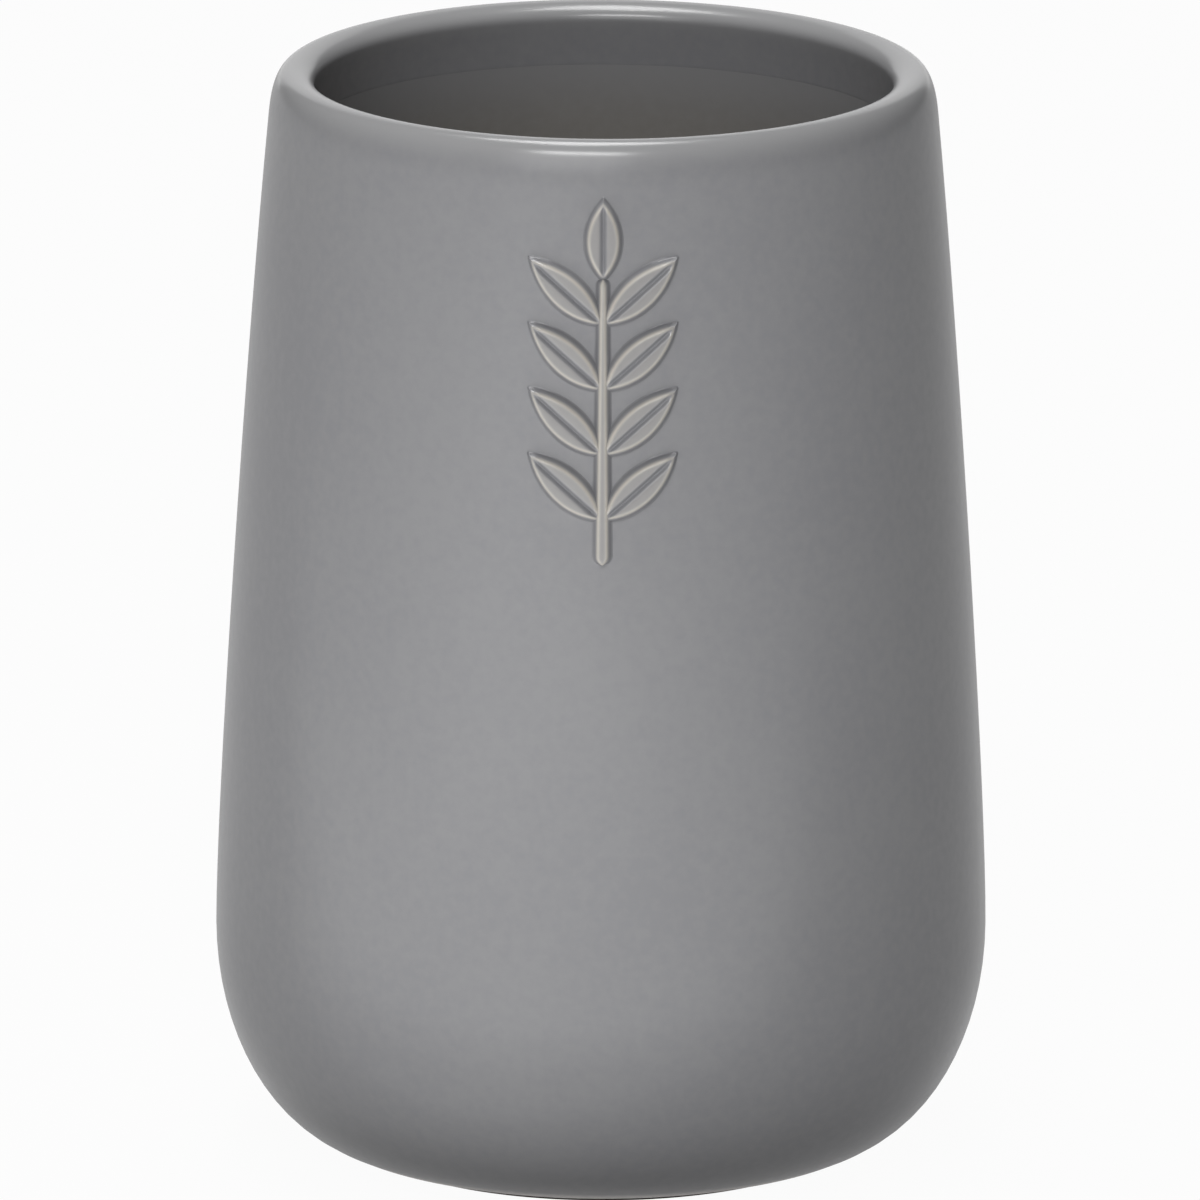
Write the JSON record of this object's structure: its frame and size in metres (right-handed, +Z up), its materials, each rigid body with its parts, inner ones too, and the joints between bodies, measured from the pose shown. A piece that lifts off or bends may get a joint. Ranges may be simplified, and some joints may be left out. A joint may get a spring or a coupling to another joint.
{
  "type": "bathroom tumbler",
  "caption": "Stoneware bathroom tumbler: a round cup that tapers up from a full, soft base to a rolled lip, in satin grey glaze with a leaf sprig raised on its front.",
  "frame": {"origin": "centre of the foot, on the surface that the tumbler stands on", "axes": "+Z up along the cup's axis, -Y towards the front with the raised sprig, +X to the right seen from the front"},
  "size_m": [0.0772, 0.0772, 0.11],
  "materials": {
    "bare_stoneware": "bare fired clay, wiped clean of glaze",
    "grey_glaze": "satin grey glaze",
    "lining_glaze": "satin grey glaze, a little warmer",
    "relief_glaze": "the same glaze, thin and pale where it breaks over the relief"
  },
  "bodies": {
    "root": {"stoneware_body": "bare_stoneware", "outer_glaze": "grey_glaze", "lining_glaze": "lining_glaze", "base_glaze": "grey_glaze", "sprig_stem": "relief_glaze", "sprig_tip_leaf": "relief_glaze", "sprig_leaf_1_left": "relief_glaze", "sprig_leaf_1_right": "relief_glaze", "sprig_leaf_2_left": "relief_glaze", "sprig_leaf_2_right": "relief_glaze", "sprig_leaf_3_left": "relief_glaze", "sprig_leaf_3_right": "relief_glaze", "sprig_leaf_4_left": "relief_glaze", "sprig_leaf_4_right": "relief_glaze"}
  },
  "joints": []
}
